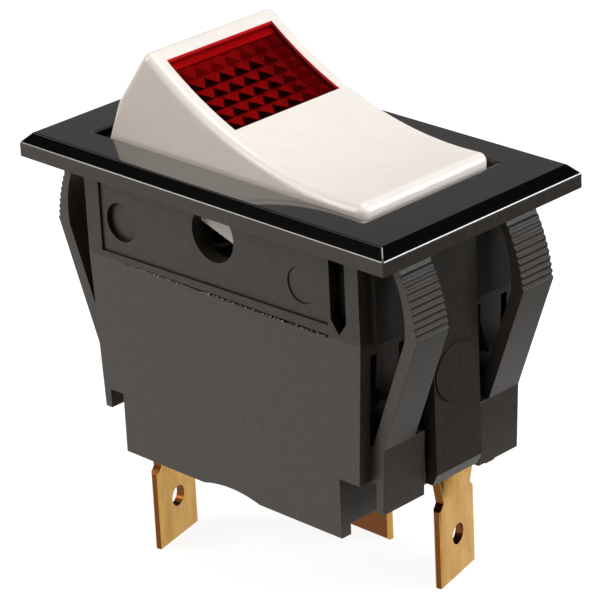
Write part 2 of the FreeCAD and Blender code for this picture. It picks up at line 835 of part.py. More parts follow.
def place_blade(body):
    place(body, (pivot_x, ZERO, blade_pivot_z), Vector(0, 1, 0), -size("blade_rest_tilt"))


def make_contact_blade():
    """The see-saw blade: a dished middle that the plunger rides in, a short end and a long contact end."""
    body = new_body("contact_blade")
    form = BladeForm()
    short = size("blade_short_end")
    bend = size("blade_bend")
    long_end = size("blade_long_end")
    profile = new_sketch(body, "XZ_Plane", "blade_profile")
    draw_outline(profile, [
        (-short, form.end_under), (-form.side, form.side_height), (form.side, form.side_height),
        (bend, form.end_under), (long_end, form.end_under), (long_end, form.end_top), (bend, form.end_top),
        (form.half, form.top_side), (-form.half, form.top_side), (-short, form.end_top),
    ], {1: (form.outer, -1), 7: (form.radius, 1)})
    pad(body, profile, 2 * size("blade_half_width"), centred=True)
    place_blade(body)
    return body


def make_moving_contact():
    """A silver button under the flat contact end of the blade."""
    body = new_body("moving_contact")
    face = new_sketch(body, "XY_Plane", "moving_contact_face", BladeForm().contact_face)
    draw_circle(face, (size("contact_reach"), ZERO), size("contact_radius"))
    pad(body, face, size("contact_height"))
    place_blade(body)
    return body


def contact_point():
    """Where the fixed contact's crown is met: X, and the height of the crown."""
    tilt = size("blade_rest_tilt")
    reach = size("contact_reach")
    face = BladeForm().contact_face
    centre_x = pivot_x + reach * cosine(tilt) + face * sine(tilt)
    centre_z = blade_pivot_z - reach * sine(tilt) + face * cosine(tilt)
    lift = crown_radius() * (1 / cosine(tilt) - 1)
    return centre_x, centre_z - lift - size("contact_clearance")


def crown_radius():
    rim = size("contact_radius")
    dome = size("fixed_contact_dome")
    return (rim * rim + dome * dome) / (2 * dome)


def shelf_top():
    """The height of the load terminal's shelf, under the fixed contact."""
    return contact_point()[1] - size("fixed_contact_dome") - size("fixed_contact_rim")


def make_fixed_contact():
    """A silver button with a domed crown on the load terminal's shelf."""
    body = new_body("fixed_contact")
    half = new_sketch(body, "XZ_Plane", "fixed_contact_half")
    radius = size("contact_radius")
    rim = size("fixed_contact_rim")
    crown = rim + size("fixed_contact_dome")
    draw_outline(half, [(ZERO, ZERO), (radius, ZERO), (radius, rim), (ZERO, crown)], {2: (crown_radius(), -1)})
    turn = body.newObject("PartDesign::Revolution", "fixed_contact_turn")
    turn.Profile = half
    turn.ReferenceAxis = (half, ["V_Axis"])
    turn.Angle = 360
    place(body, (contact_point()[0], ZERO, shelf_top()))
    return body


def turn_sketch(sketch, base, axis, angle):
    """Moves a sketch in its plane's own directions and turns it, all tied to the sheet."""
    base = [as_size(value) for value in base]
    turn = FreeCAD.Rotation(axis, float(angle))
    sketch.AttachmentOffset = FreeCAD.Placement(Vector(*[value.number for value in base]), turn)
    for letter, value in zip("xyz", base):
        sketch.setExpression(f"AttachmentOffset.Base.{letter}", value.text)
    sketch.setExpression("AttachmentOffset.Rotation.Angle", as_size(angle).text)


def make_blade_terminal(label, x, y, twist):
    """A tab below the base on a narrow neck that rises through the floor. The tab's width lies along Y and
    the neck is twisted, or without a twist the width lies along X."""
    body = new_body(label)
    along_x = twist is None
    neck = size("neck_half_width")
    thick = size("tab_wall") / 2
    half = size("tab_half_width")
    low = -size("tab_tip")
    tab = new_sketch(body, "XZ_Plane" if along_x else "YZ_Plane", f"{label}_tab")
    if along_x:
        turn_sketch(tab, (x, ZERO, -y), Vector(0, 1, 0), ZERO)
    else:
        turn_sketch(tab, (y, ZERO, x), Vector(0, 1, 0), twist)
    draw_outline(tab, [
        (-neck, -size("tab_shoulder_top")), (-half, -size("tab_shoulder")), (-half, low),
        (half, low), (half, -size("tab_shoulder")), (neck, -size("tab_shoulder_top")),
    ])
    draw_circle(tab, (ZERO, -size("tab_hole_depth")), size("tab_hole_radius"))
    plate = pad(body, tab, size("tab_wall"), centred=True)
    doc.recompute()
    ceiling = -float(size("tab_shoulder")) + NEAR

    def bounds_the_face(edge):
        box = edge.BoundBox
        straight = edge.Curve.TypeId == "Part::GeomLine"
        return straight and box.ZMax < ceiling and edge.Length > float(size("tab_wall")) + NEAR

    bevel = body.newObject("PartDesign::Chamfer", f"{label}_bevel")
    bevel.Base = (plate, edges_where(plate.Shape, bounds_the_face))
    bind(bevel, "Size", size("tab_edge_chamfer"))
    half_x, half_y = (neck, thick) if along_x else (thick, neck)
    upper = new_sketch(body, "XY_Plane", f"{label}_neck_top", -size("base_depth"))
    draw_rectangle(upper, x - half_x, x + half_x, y - half_y, y + half_y)
    lower = new_sketch(body, "XY_Plane", f"{label}_neck_foot")
    turn_sketch(lower, (x, y, -size("tab_shoulder_top")), Vector(0, 0, 1), ZERO if along_x else twist)
    draw_rectangle(lower, -half_x, half_x, -half_y, half_y)
    loft(body, "AdditiveLoft", [upper, lower])
    return body


def add_riser(body, x, y, half_x, half_y, top):
    riser = new_sketch(body, "XY_Plane", f"{body.Label}_riser", -size("base_depth"))
    draw_rectangle(riser, x - half_x, x + half_x, y - half_y, y + half_y)
    pad(body, riser, size("base_depth") + top)


def make_load_terminal():
    x = size("outer_tab_x")
    y = size("outer_tab_y")
    thick = size("tab_wall") / 2
    body = make_blade_terminal("load_terminal", x, y, size("neck_twist"))
    add_riser(body, x, y, thick, size("neck_half_width"), shelf_top())
    shelf = new_sketch(body, "XY_Plane", "load_shelf", shelf_top())
    centre = contact_point()[0]
    reach = size("contact_radius") + size("contact_margin")
    far = y + size("neck_half_width")
    draw_rectangle(shelf, centre - reach, x + thick, -reach, far)
    pad(body, shelf, size("tab_wall"), reverse=True)
    return body


def make_lamp_terminal():
    x = -size("outer_tab_x")
    y = -size("outer_tab_y")
    body = make_blade_terminal("lamp_terminal", x, y, size("neck_twist"))
    add_riser(body, x, y, size("tab_wall") / 2, size("neck_half_width"), -size("lamp_terminal_top"))
    return body


def make_common_terminal():
    """The middle terminal: its strip lies on the floor and carries the fulcrum of the blade between two ears."""
    x = size("middle_tab_x")
    y = size("middle_tab_y")
    thick = size("tab_wall") / 2
    body = make_blade_terminal("common_terminal", x, y, None)
    add_riser(body, x, y, size("neck_half_width"), thick, floor_top + size("tab_wall"))
    ear_inner = size("blade_half_width") + size("ear_gap")
    ear_outer = ear_inner + size("ear_wall")
    half = size("shelf_half_width")
    strip = new_sketch(body, "XY_Plane", "common_strip", floor_top)
    draw_rectangle(strip, pivot_x - half, pivot_x + half, -ear_outer, y + thick)
    pad(body, strip, size("tab_wall"))
    post_half = size("fulcrum_radius")
    post = new_sketch(body, "XZ_Plane", "fulcrum_post")
    draw_outline(post, [
        (pivot_x - post_half, floor_top), (pivot_x + post_half, floor_top),
        (pivot_x + post_half, blade_pivot_z), (pivot_x, blade_pivot_z + post_half),
        (pivot_x - post_half, blade_pivot_z),
    ], {2: (post_half, -1), 3: (post_half, -1)})
    pad(body, post, 2 * ear_outer, centred=True)
    for side in (-1, 1):
        ear = new_sketch(body, "XZ_Plane", f"ear_{side + 1}", -side * ear_inner)
        draw_rectangle(ear, pivot_x - post_half, pivot_x + post_half, floor_top, blade_pivot_z + size("ear_rise"))
        pad(body, ear, size("ear_wall"), reverse=side > 0)
    return body


def make_lamp_bulb():
    """The glass of a glow lamp: a round-topped tube, closed by a solid pinch at its foot."""
    body = new_body("lamp_bulb")
    half = new_sketch(body, "XZ_Plane", "bulb_half")
    radius = size("lamp_radius")
    inner = radius - size("glass_wall")
    foot = -size("lamp_bottom")
    top = -size("lamp_top")
    draw_outline(half, [
        (ZERO, foot), (radius, foot), (radius, top - radius), (ZERO, top), (ZERO, top - radius),
        (inner, top - radius), (inner, foot + size("pinch_height")), (ZERO, foot + size("pinch_height")),
    ], {2: (radius, -1)})
    turn = body.newObject("PartDesign::Revolution", "bulb_turn")
    turn.Profile = half
    turn.ReferenceAxis = (half, ["V_Axis"])
    turn.Angle = 360
    place(body, (-size("lamp_x"), ZERO, ZERO))
    return body


def make_electrode(label, side):
    rod = doc.addObject("Part::Cylinder", label)
    rod.Label = label
    bind(rod, "Radius", size("electrode_radius"))
    bind(rod, "Height", size("electrode_length"))
    place(rod, (-size("lamp_x"), side * size("electrode_spacing"), size("pinch_height") - size("lamp_bottom")))
    return rod


def make_lamp_holder():
    """A moulded bracket on the floor whose ring grips the foot of the lamp."""
    body = new_body("lamp_holder")
    inner = size("lamp_radius") + size("holder_clearance")
    outer = inner + size("holder_wall")
    x = -size("lamp_x")
    half = size("holder_leg_half_width")
    foot = new_sketch(body, "XY_Plane", "holder_foot", floor_top)
    draw_rectangle(foot, -size("holder_foot_left"), x + outer, -size("holder_foot_half_width"),
                   size("holder_foot_half_width"))
    pad(body, foot, size("holder_foot"))
    leg = new_sketch(body, "XY_Plane", "holder_leg", floor_top)
    draw_rectangle(leg, x + inner - size("holder_leg_overlap"), x + outer - size("holder_leg_inset"), -half, half)
    pad(body, leg, -floor_top - size("lamp_bottom") + size("holder_ring") / 2)
    ring = new_sketch(body, "XY_Plane", "holder_ring", -size("lamp_bottom"))
    draw_circle(ring, (x, ZERO), outer)
    pad(body, ring, size("holder_ring"))
    hole = new_sketch(body, "XY_Plane", "holder_hole", -size("lamp_bottom"))
    draw_circle(hole, (x, ZERO), inner)
    pocket(body, hole, size("holder_ring"), reverse=True)
    return body


def make_resistor():
    """A body with a slim waist between two swollen ends, turned about the X axis."""
    body = new_body("resistor")
    half = new_sketch(body, "XZ_Plane", "resistor_half")
    length = size("resistor_length")
    cap = size("resistor_cap")
    radius = size("resistor_radius")
    waist = size("resistor_waist")
    step = radius - waist
    draw_outline(half, [
        (ZERO, ZERO), (length, ZERO), (length, radius), (length - cap, radius),
        (length - cap - step, waist), (cap + step, waist), (cap, radius), (ZERO, radius),
    ])
    turn = body.newObject("PartDesign::Revolution", "resistor_turn")
    turn.Profile = half
    turn.ReferenceAxis = (half, ["H_Axis"])
    turn.Angle = 360
    place(body, (-size("resistor_left"), size("resistor_y"), -size("resistor_depth")))
    return body


WIRE_SIDES = 6


def six_sided(radius, centre, along):
    """A plain six-sided section for a thin wire, square to the way that it runs."""
    turn = FreeCAD.Rotation(Vector(0, 0, 1), along)
    corners = []
    for number in range(WIRE_SIDES + 1):
        angle = 2 * math.pi * number / WIRE_SIDES
        corner = Vector(radius * math.cos(angle), radius * math.sin(angle), 0)
        corners.append(centre + turn.multVec(corner))
    return Part.makePolygon(corners)


def wire_solid(points, radius, bend):
    """A round wire along straight runs that are joined by tangent arcs."""
    points = [Vector(*[float(as_size(value)) for value in point]) for point in points]
    edges = []
    start = points[0]
    for before, corner, after in zip(points, points[1:], points[2:]):
        arrive = (corner - before).normalize()
        leave = (after - corner).normalize()
        turn = arrive.getAngle(leave)
        cut = bend * math.tan(turn / 2)
        arc_start = corner - arrive * cut
        arc_end = corner + leave * cut
        inward = (leave - arrive).normalize()
        middle = corner + inward * (bend / math.cos(turn / 2) - bend)
        edges.append(Part.LineSegment(start, arc_start).toShape())
        edges.append(Part.Arc(arc_start, middle, arc_end).toShape())
        start = arc_end
    edges.append(Part.LineSegment(start, points[-1]).toShape())
    path = Part.Wire(edges)
    return path.makePipeShell([six_sided(radius, points[0], points[1] - points[0])], True, False)


def make_lead(label, points):
    lead = doc.addObject("Part::Feature", label)
    lead.Label = label
    lead.Shape = wire_solid(points, float(size("lead_radius")), float(size("lead_bend")))
    return lead


def make_leads():
    x = -size("lamp_x")
    spacing = size("electrode_spacing")
    foot = -size("lamp_bottom")
    low = -size("return_lead_depth")
    far = -size("return_lead_y")
    depth = -size("resistor_depth")
    y = size("resistor_y")
    terminal_face = -size("outer_tab_x") + size("tab_wall") / 2
    left = -size("resistor_left")
    right = left + size("resistor_length")
    end = size("supply_lead_end")
    return [
        make_lead("lamp_return_lead", [
            (x, -spacing, foot), (x, -spacing, low), (x, far, low), (terminal_face, far, low)]),
        make_lead("lamp_supply_lead", [(x, spacing, foot), (x, spacing, depth), (x, y, depth), (left, y, depth)]),
        make_lead("resistor_lead", [(right, y, depth), (end, y, depth), (end, y, shelf_top())]),
    ]


def make_sleeve():
    """An insulating tube on the resistor's long lead."""
    sleeve = doc.addObject("Part::Cut", "lead_sleeve")
    sleeve.Label = "lead_sleeve"
    for role, radius in (("Base", size("sleeve_radius")), ("Tool", size("lead_radius") + size("sleeve_gap"))):
        rod = doc.addObject("Part::Cylinder", f"sleeve_{role.lower()}")
        bind(rod, "Radius", radius)
        bind(rod, "Height", size("sleeve_length"))
        rod.Placement = FreeCAD.Placement(Vector(), FreeCAD.Rotation(Vector(0, 1, 0), 90))
        setattr(sleeve, role, rod)
    place(sleeve, (size("sleeve_start"), size("resistor_y"), -size("resistor_depth")))
    return sleeve


def make_spring():
    """The coil that presses the plunger down, from the seat in the rocker to the floor of the plunger's bore."""
    spring = doc.addObject("Part::Feature", "plunger_spring")
    spring.Label = "plunger_spring"
    wire = float(size("spring_wire"))
    foot = float(size("plunger_length") - size("plunger_reach") - size("plunger_bore_depth")) + wire
    top = float(size("spring_seat")) - wire
    height = top - foot
    turns = float(size("spring_turns"))
    radius = float(size("spring_radius"))
    helix = Part.makeHelix(height / turns, height, radius)
    rise = Vector(0, radius, height / turns / (2 * math.pi))
    section = six_sided(wire, Vector(radius, 0, 0), rise)
    spring.Shape = Part.Wire(helix).makePipeShell([section], True, True)
    tilt = size("rest_tilt")
    drop = size("plunger_reach") + size("plunger_bore_depth") - size("plunger_length") - size("spring_wire")
    place(spring, (pivot_x - drop * sine(tilt), ZERO, pivot_z - drop * cosine(tilt)), Vector(0, 1, 0), tilt)
    return spring


bodies = [
    make_bezel_frame(), make_lower_housing(), make_rocker(), make_lens(), make_plunger(), make_spring(),
    make_contact_blade(), make_moving_contact(), make_fixed_contact(), make_load_terminal(),
    make_lamp_terminal(), make_common_terminal(), make_lamp_holder(), make_lamp_bulb(),
    make_electrode("lamp_electrode_front", -1), make_electrode("lamp_electrode_back", 1), make_resistor(),
    *make_leads(), make_sleeve(),
]

doc.recompute()
for item in doc.Objects:
    if "Invalid" in item.State or "Error" in item.State:
        raise RuntimeError(f"{item.Label} failed: {item.State}")
for body in bodies:
    if body.Shape.isNull() or not body.Shape.isValid() or len(body.Shape.Solids) != 1:
        raise RuntimeError(f"{body.Label} is not one valid solid")
os.makedirs("parts", exist_ok=True)
for body in bodies:
    body.Shape.exportStep(f"parts/{body.Label}.step")
    print(body.Label, round(body.Shape.Volume, 2), body.Shape.BoundBox)
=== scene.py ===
"""The panel rocker switch on a pale floor under soft studio light, seen as in the photograph."""
import math
import random

import bmesh
import bpy
from mathutils import Matrix, Vector


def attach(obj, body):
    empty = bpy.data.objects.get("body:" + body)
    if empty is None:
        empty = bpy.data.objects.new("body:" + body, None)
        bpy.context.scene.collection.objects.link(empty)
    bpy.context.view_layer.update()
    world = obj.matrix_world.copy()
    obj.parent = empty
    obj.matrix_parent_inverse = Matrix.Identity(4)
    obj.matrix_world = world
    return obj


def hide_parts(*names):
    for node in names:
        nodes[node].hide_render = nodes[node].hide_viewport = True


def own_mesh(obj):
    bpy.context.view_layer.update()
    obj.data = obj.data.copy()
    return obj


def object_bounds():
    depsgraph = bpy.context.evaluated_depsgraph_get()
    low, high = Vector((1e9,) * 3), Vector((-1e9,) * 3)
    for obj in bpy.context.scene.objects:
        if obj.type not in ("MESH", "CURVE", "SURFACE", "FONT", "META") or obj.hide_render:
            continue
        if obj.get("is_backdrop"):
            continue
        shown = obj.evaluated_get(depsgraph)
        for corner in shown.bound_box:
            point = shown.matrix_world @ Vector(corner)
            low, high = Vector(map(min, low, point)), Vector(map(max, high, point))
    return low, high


MM = 0.001

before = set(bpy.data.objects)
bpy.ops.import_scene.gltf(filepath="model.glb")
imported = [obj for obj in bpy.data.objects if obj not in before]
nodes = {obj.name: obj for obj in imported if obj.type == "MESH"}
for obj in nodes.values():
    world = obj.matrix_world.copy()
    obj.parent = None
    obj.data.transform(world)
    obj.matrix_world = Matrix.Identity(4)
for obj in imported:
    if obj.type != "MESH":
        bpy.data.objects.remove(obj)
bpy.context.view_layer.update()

# Dimensions shared with the solids, in millimetres

PIVOT = Vector((-0.7, 0.0, -3.05))
REST_TILT = math.radians(18)
TOP_HALF = 13.2
TOP_END = 10.8
TOP_MIDDLE = 8.3
LENS_LEFT = -11.7
LENS_RIGHT = -2.5
LENS_HALF_WIDTH = 6.5
LENS_CLEARANCE = 0.04
LENS_COVER = 0.25
PRISM_ROWS = 6
PRISM_COLUMNS = 7
PRISM_DEPTH = 0.2
PRISM_PEAK = 0.05
WALL_STEPS = 8
STRIP_UPPER = 0.75
STRIP_LOWER = 0.55
STRIP_LINE = 0.13
DARK_COLUMN = 2
DARK_SPREAD = 2.4
DARK_FIRST_ROW = 1
# Painted light across the columns of pyramids, fading towards the back side
FIELD_PAINTED_LIGHT = (1.0, 1.0, 1.0, 0.95, 0.8, 0.6, 0.45)
FIELD_END_GAP = 0.1
FIELD_SIDE_GAP = 0.06
FIELD_BELOW_COVER = 0.35
WALL_BELOW_COVER = 0.02
BEZEL_SIDE = 1.3
SEAM_Z = -8.74
BODY_HALF_WIDTH = 9.93

# Painted light and shade on each part of the lens, as a factor on the plain red, which is 1

UPPER_STRIP_SHADE = 1.45
LOWER_STRIP_SHADE = 1.3
STRIP_LINE_SHADE = 0.3
UPPER_WALL_SHADE = 1.2
LOWER_WALL_SHADE = 0.9
FRONT_WALL_SHADE = 0.7
BACK_WALL_SHADE = 0.3
DOWN_SLOPE = 1
FACET_SHADES = (0.9, 0.0, 0.7, 1.0)
DOWN_SLOPE_MOST = 0.7
DOWN_SLOPE_LEAST = 0.01
SHADE_PER_ROW = 0.4
SHADE_PER_SPREAD = 0.9

# The line of flash along the seam: spans that its sizes are drawn from, in millimetres

FLASH_START = -12.0
FLASH_END = 13.0
FLASH_LENGTH = (0.1, 0.45)
FLASH_BELOW = (0.0, 0.12)
FLASH_ABOVE = (0.02, 0.1)
FLASH_PROUD = (0.02, 0.09)
FLASH_STEP = (0.8, 1.9)
FLASH_SEED = 7
SEAM_PROUD = 0.01
# Edges of the near-black ribbon along the seam, painted shade of the groove, at its left and right
# end
SEAM_LINE_LEFT = (-0.02, 0.08)
SEAM_LINE_RIGHT = (-0.1, 0.16)

# Light and stage

FLOOR_DARK = (0.3, 0.285, 0.27)
FLOOR_LIGHT = (0.32, 0.305, 0.29)
FLOOR_GLOW = 0.9
FLOOR_HALF = 3.0
AMBIENT_COLOUR = (1.0, 0.84, 0.72)
AMBIENT_LEVEL = 0.19
KEY_COLOUR = (1.0, 0.9, 0.82)
LAMP_DISTANCE = 0.9
WHITE = (1, 1, 1)

# Name, direction from the object, width in metres, radiance, colour, seen in gloss only

LAMPS = (
    ("box_top", (0.0, 0.15, 1.0), 0.5, 4.4, WHITE, False),
    ("box_right", (0.5, -0.05, 1.0), 0.35, 3.2, WHITE, False),
    ("box_key", (-0.55, -0.7, 0.55), 0.45, 5.4, KEY_COLOUR, False),
    ("box_back", (0.75, 0.6, 0.35), 0.35, 5.0, WHITE, False),
    ("box_line_left", (-0.653, -0.738, 0.17), 0.16, 14, WHITE, True),
    ("box_line_right", (0.747, 0.642, 0.178), 0.2, 22, WHITE, True),
    ("box_end", (1.0, -0.2, 0.35), 0.35, 6.0, WHITE, False),
)

# Name, direction from the object, distance, width and height in metres, level

CARDS = (
    ("card_grey", (-0.653, 0.642, 0.402), 0.6, 0.9, 0.2, 0.17),
    ("card_black", (-0.35, 0.55, 0.76), 0.62, 1.0, 0.36, 0.004),
    ("card_left", (-0.653, -0.402, 0.642), 0.6, 0.24, 0.24, 0.003),
    ("card_right", (0.402, 0.642, 0.653), 0.6, 0.22, 0.22, 0.003),
)

# Surfaces

WELD_DISTANCE = 1e-7
NOISE_DETAIL = 4.0
CREASE_DEGREES = 15
POLISHED_DEGREES = 20
POLISHED_EDGE = 0.13
POLISHED_ABOVE = 0.02
POLISHED_ROUGHNESS = 0.06
POLISH_FADE = 0.02
SATIN_ROUGHNESS = (0.34, 0.46)
BEZEL_BLACK = (0.004, 0.004, 0.0045)
CHARCOAL_DARK = (0.044, 0.039, 0.035)
CHARCOAL_LIGHT = (0.062, 0.055, 0.049)
CHARCOAL_SHEEN = 0.4
SHELL_DARK = (0.034, 0.031, 0.027)
SHELL_LIGHT = (0.048, 0.043, 0.038)
SHELL_SHEEN = 0.3
# Painted shade in gaps and holes: how far to look for cover, and the colour painted there
CREVICE_SHADE_REACH = 2.5
CREVICE_SHADE_COLOUR = (0.006, 0.005, 0.005)

# The darker and the lighter colour of each finish's mottling

ROCKER_WHITE = ((0.8, 0.772, 0.738), (0.82, 0.792, 0.76))
BRASS = ((0.44, 0.235, 0.05), (0.57, 0.34, 0.095))
# Painted shade for the terminals' narrow side faces
BRASS_SIDE_SHADE = (0.16, 0.055, 0.014)
COPPER = ((0.55, 0.33, 0.2), (0.72, 0.46, 0.28))
SILVER = ((0.75, 0.75, 0.73), (0.9, 0.9, 0.88))
STEEL = ((0.5, 0.5, 0.5), (0.66, 0.66, 0.66))
PLUNGER_NATURAL = ((0.72, 0.69, 0.6), (0.8, 0.77, 0.7))
RESISTOR_BEIGE = ((0.55, 0.42, 0.25), (0.66, 0.52, 0.33))
SLEEVE_CLEAR = ((0.7, 0.7, 0.66), (0.8, 0.8, 0.77))
FLASH_CHARCOAL = ((0.015, 0.013, 0.012), (0.4, 0.36, 0.32))
# The near-black ribbon along the seam: painted shade of the groove
SEAM_GROOVE_SHADE = ((0.004, 0.004, 0.004), (0.012, 0.011, 0.01))
COVER_RED = ((0.98, 0.35, 0.38), (1.0, 0.38, 0.41))
PRISM_RED = ((0.27, 0.13, 0.12), (0.35, 0.17, 0.15))
LAMP_GLASS = ((0.95, 0.96, 0.97), (0.99, 0.99, 0.99))

# Camera, recovered from the corners of the bezel and the tabs in the photograph

CAMERA_AZIMUTH = math.radians(45.47)
CAMERA_ELEVATION = math.radians(23.677)
CAMERA_ROLL = math.radians(-2.863)
CAMERA_FOCAL_PX = 3457.06
CAMERA_DISTANCE = 302.951
CAMERA_SIDE = -0.411
CAMERA_UP = 11.299
IMAGE_PX = 600
SENSOR = 36.0


def make_camera():
    a, e, r = CAMERA_AZIMUTH, CAMERA_ELEVATION, CAMERA_ROLL
    back = Vector((math.sin(a) * math.cos(e), -math.cos(a) * math.cos(e), math.sin(e)))
    level_right = Vector((math.cos(a), math.sin(a), 0))
    level_up = back.cross(level_right)
    right = math.cos(r) * level_right + math.sin(r) * level_up
    up = -math.sin(r) * level_right + math.cos(r) * level_up
    place = (-CAMERA_SIDE * right - CAMERA_UP * up + CAMERA_DISTANCE * back) * MM
    data = bpy.data.cameras.new("camera")
    data.sensor_width = SENSOR
    data.lens = CAMERA_FOCAL_PX * SENSOR / IMAGE_PX
    data.clip_start = 0.01
    data.clip_end = 20
    camera = bpy.data.objects.new("camera", data)
    turn = Matrix((right, up, back)).transposed().to_4x4()
    camera.matrix_world = Matrix.Translation(place) @ turn
    bpy.context.scene.collection.objects.link(camera)
    bpy.context.scene.camera = camera


# Node helpers

def new_material(name):
    material = bpy.data.materials.new(name)
    material.use_nodes = True
    tree = material.node_tree
    tree.nodes.clear()
    output = tree.nodes.new("ShaderNodeOutputMaterial")
    return material, tree, output


def add(tree, kind, **settings):
    node = tree.nodes.new(kind)
    for name, value in settings.items():
        setattr(node, name, value)
    return node


def noise(tree, scale, stretch=(1, 1, 1)):
    """Noise in the object's own space, with a scale in cells per millimetre."""
    where = add(tree, "ShaderNodeTexCoord")
    mapping = add(tree, "ShaderNodeMapping")
    mapping.inputs["Scale"].default_value = [value / MM for value in stretch]
    tree.links.new(where.outputs["Object"], mapping.inputs["Vector"])
    texture = add(tree, "ShaderNodeTexNoise")
    texture.inputs["Scale"].default_value = scale
    texture.inputs["Detail"].default_value = NOISE_DETAIL
    tree.links.new(mapping.outputs["Vector"], texture.inputs["Vector"])
    return texture.outputs["Fac"]


def remap(tree, value, low, high, to_low, to_high):
    node = add(tree, "ShaderNodeMapRange")
    spans = {"From Min": low, "From Max": high, "To Min": to_low, "To Max": to_high}
    for name, number in spans.items():
        node.inputs[name].default_value = number
    tree.links.new(value, node.inputs["Value"])
    return node.outputs["Result"]


def blend_colour(tree, factor, first, second):
    node = add(tree, "ShaderNodeMix", data_type="RGBA")
    tree.links.new(factor, node.inputs["Factor"])
    for socket, colour in ((node.inputs[6], first), (node.inputs[7], second)):
        if isinstance(colour, bpy.types.NodeSocket):
            tree.links.new(colour, socket)
        else:
            socket.default_value = (*colour, 1)
    return node.outputs[2]


def add_bump(tree, shader, height, strength, distance, edge=0.0):
    """Fine relief in the surface, over edges that are rounded to a radius in millimetres."""
    bump = add(tree, "ShaderNodeBump")
    bump.inputs["Strength"].default_value = strength
    bump.inputs["Distance"].default_value = distance * MM
    tree.links.new(height, bump.inputs["Height"])
    if edge:
        rounded = add(tree, "ShaderNodeBevel", samples=6)
        rounded.inputs["Radius"].default_value = edge * MM
        tree.links.new(rounded.outputs["Normal"], bump.inputs["Normal"])
    tree.links.new(bump.outputs["Normal"], shader.inputs["Normal"])


def crevice_shade_mask(tree):
    """1 on open faces and towards 0 in narrow gaps and holes: the mask for painted shade there."""
    hidden = add(tree, "ShaderNodeAmbientOcclusion", samples=6)
    hidden.inputs["Distance"].default_value = CREVICE_SHADE_REACH * MM
    return remap(tree, hidden.outputs["AO"], 0.25, 0.8, 0, 1)


def moulded_plastic(name, dark, light, roughness, grain=2.5, bump=0.25, edge=0.0, sheen=0.5,
                    painted_crevice_shade=False):
    """Moulded plastic, faintly mottled in colour and gloss, with painted shade in gaps and holes
    if asked for.
    """
    material, tree, output = new_material(name)
    shader = add(tree, "ShaderNodeBsdfPrincipled")
    mottle = noise(tree, grain)
    colour = blend_colour(tree, remap(tree, mottle, 0.35, 0.65, 0, 1), dark, light)
    # Painted shade: colour and sheen darken in gaps and holes
    if painted_crevice_shade:
        clear = crevice_shade_mask(tree)
        colour = blend_colour(tree, clear, CREVICE_SHADE_COLOUR, colour)
        tree.links.new(remap(tree, clear, 0, 1, 0, sheen), shader.inputs["Specular IOR Level"])
    else:
        shader.inputs["Specular IOR Level"].default_value = sheen
    tree.links.new(colour, shader.inputs["Base Color"])
    fine = noise(tree, grain * 4)
    rough = remap(tree, fine, 0.3, 0.7, roughness * 0.85, roughness * 1.15)
    tree.links.new(rough, shader.inputs["Roughness"])
    add_bump(tree, shader, fine, bump, 0.02, edge)
    tree.links.new(shader.outputs["BSDF"], output.inputs["Surface"])
    return material


def metal(name, dark, light, roughness, stretch=(1, 1, 1), side_shade=None):
    """Rolled metal with soft patches of tarnish and fine marks, and painted shade on the narrow
    side faces.
    """
    material, tree, output = new_material(name)
    shader = add(tree, "ShaderNodeBsdfPrincipled")
    shader.inputs["Metallic"].default_value = 1.0
    patches = noise(tree, 0.9, stretch=stretch)
    colour = blend_colour(tree, remap(tree, patches, 0.3, 0.7, 0, 1), dark, light)
    # Painted shade: faces whose normal turns away from X, the narrow sides, are painted darker
    if side_shade:
        where = add(tree, "ShaderNodeTexCoord")
        split = add(tree, "ShaderNodeSeparateXYZ")
        tree.links.new(where.outputs["Normal"], split.inputs["Vector"])
        across = add(tree, "ShaderNodeMath", operation="ABSOLUTE")
        tree.links.new(split.outputs["X"], across.inputs[0])
        broad_faces = remap(tree, across.outputs[0], 0.3, 0.6, 0, 1)
        colour = blend_colour(tree, broad_faces, side_shade, colour)
    tree.links.new(colour, shader.inputs["Base Color"])
    marks = noise(tree, 3.0, stretch=stretch)
    rough = remap(tree, marks, 0.3, 0.7, roughness * 0.75, roughness * 1.3)
    tree.links.new(rough, shader.inputs["Roughness"])
    add_bump(tree, shader, marks, 0.2, 0.01, edge=0.05)
    tree.links.new(shader.outputs["BSDF"], output.inputs["Surface"])
    return material


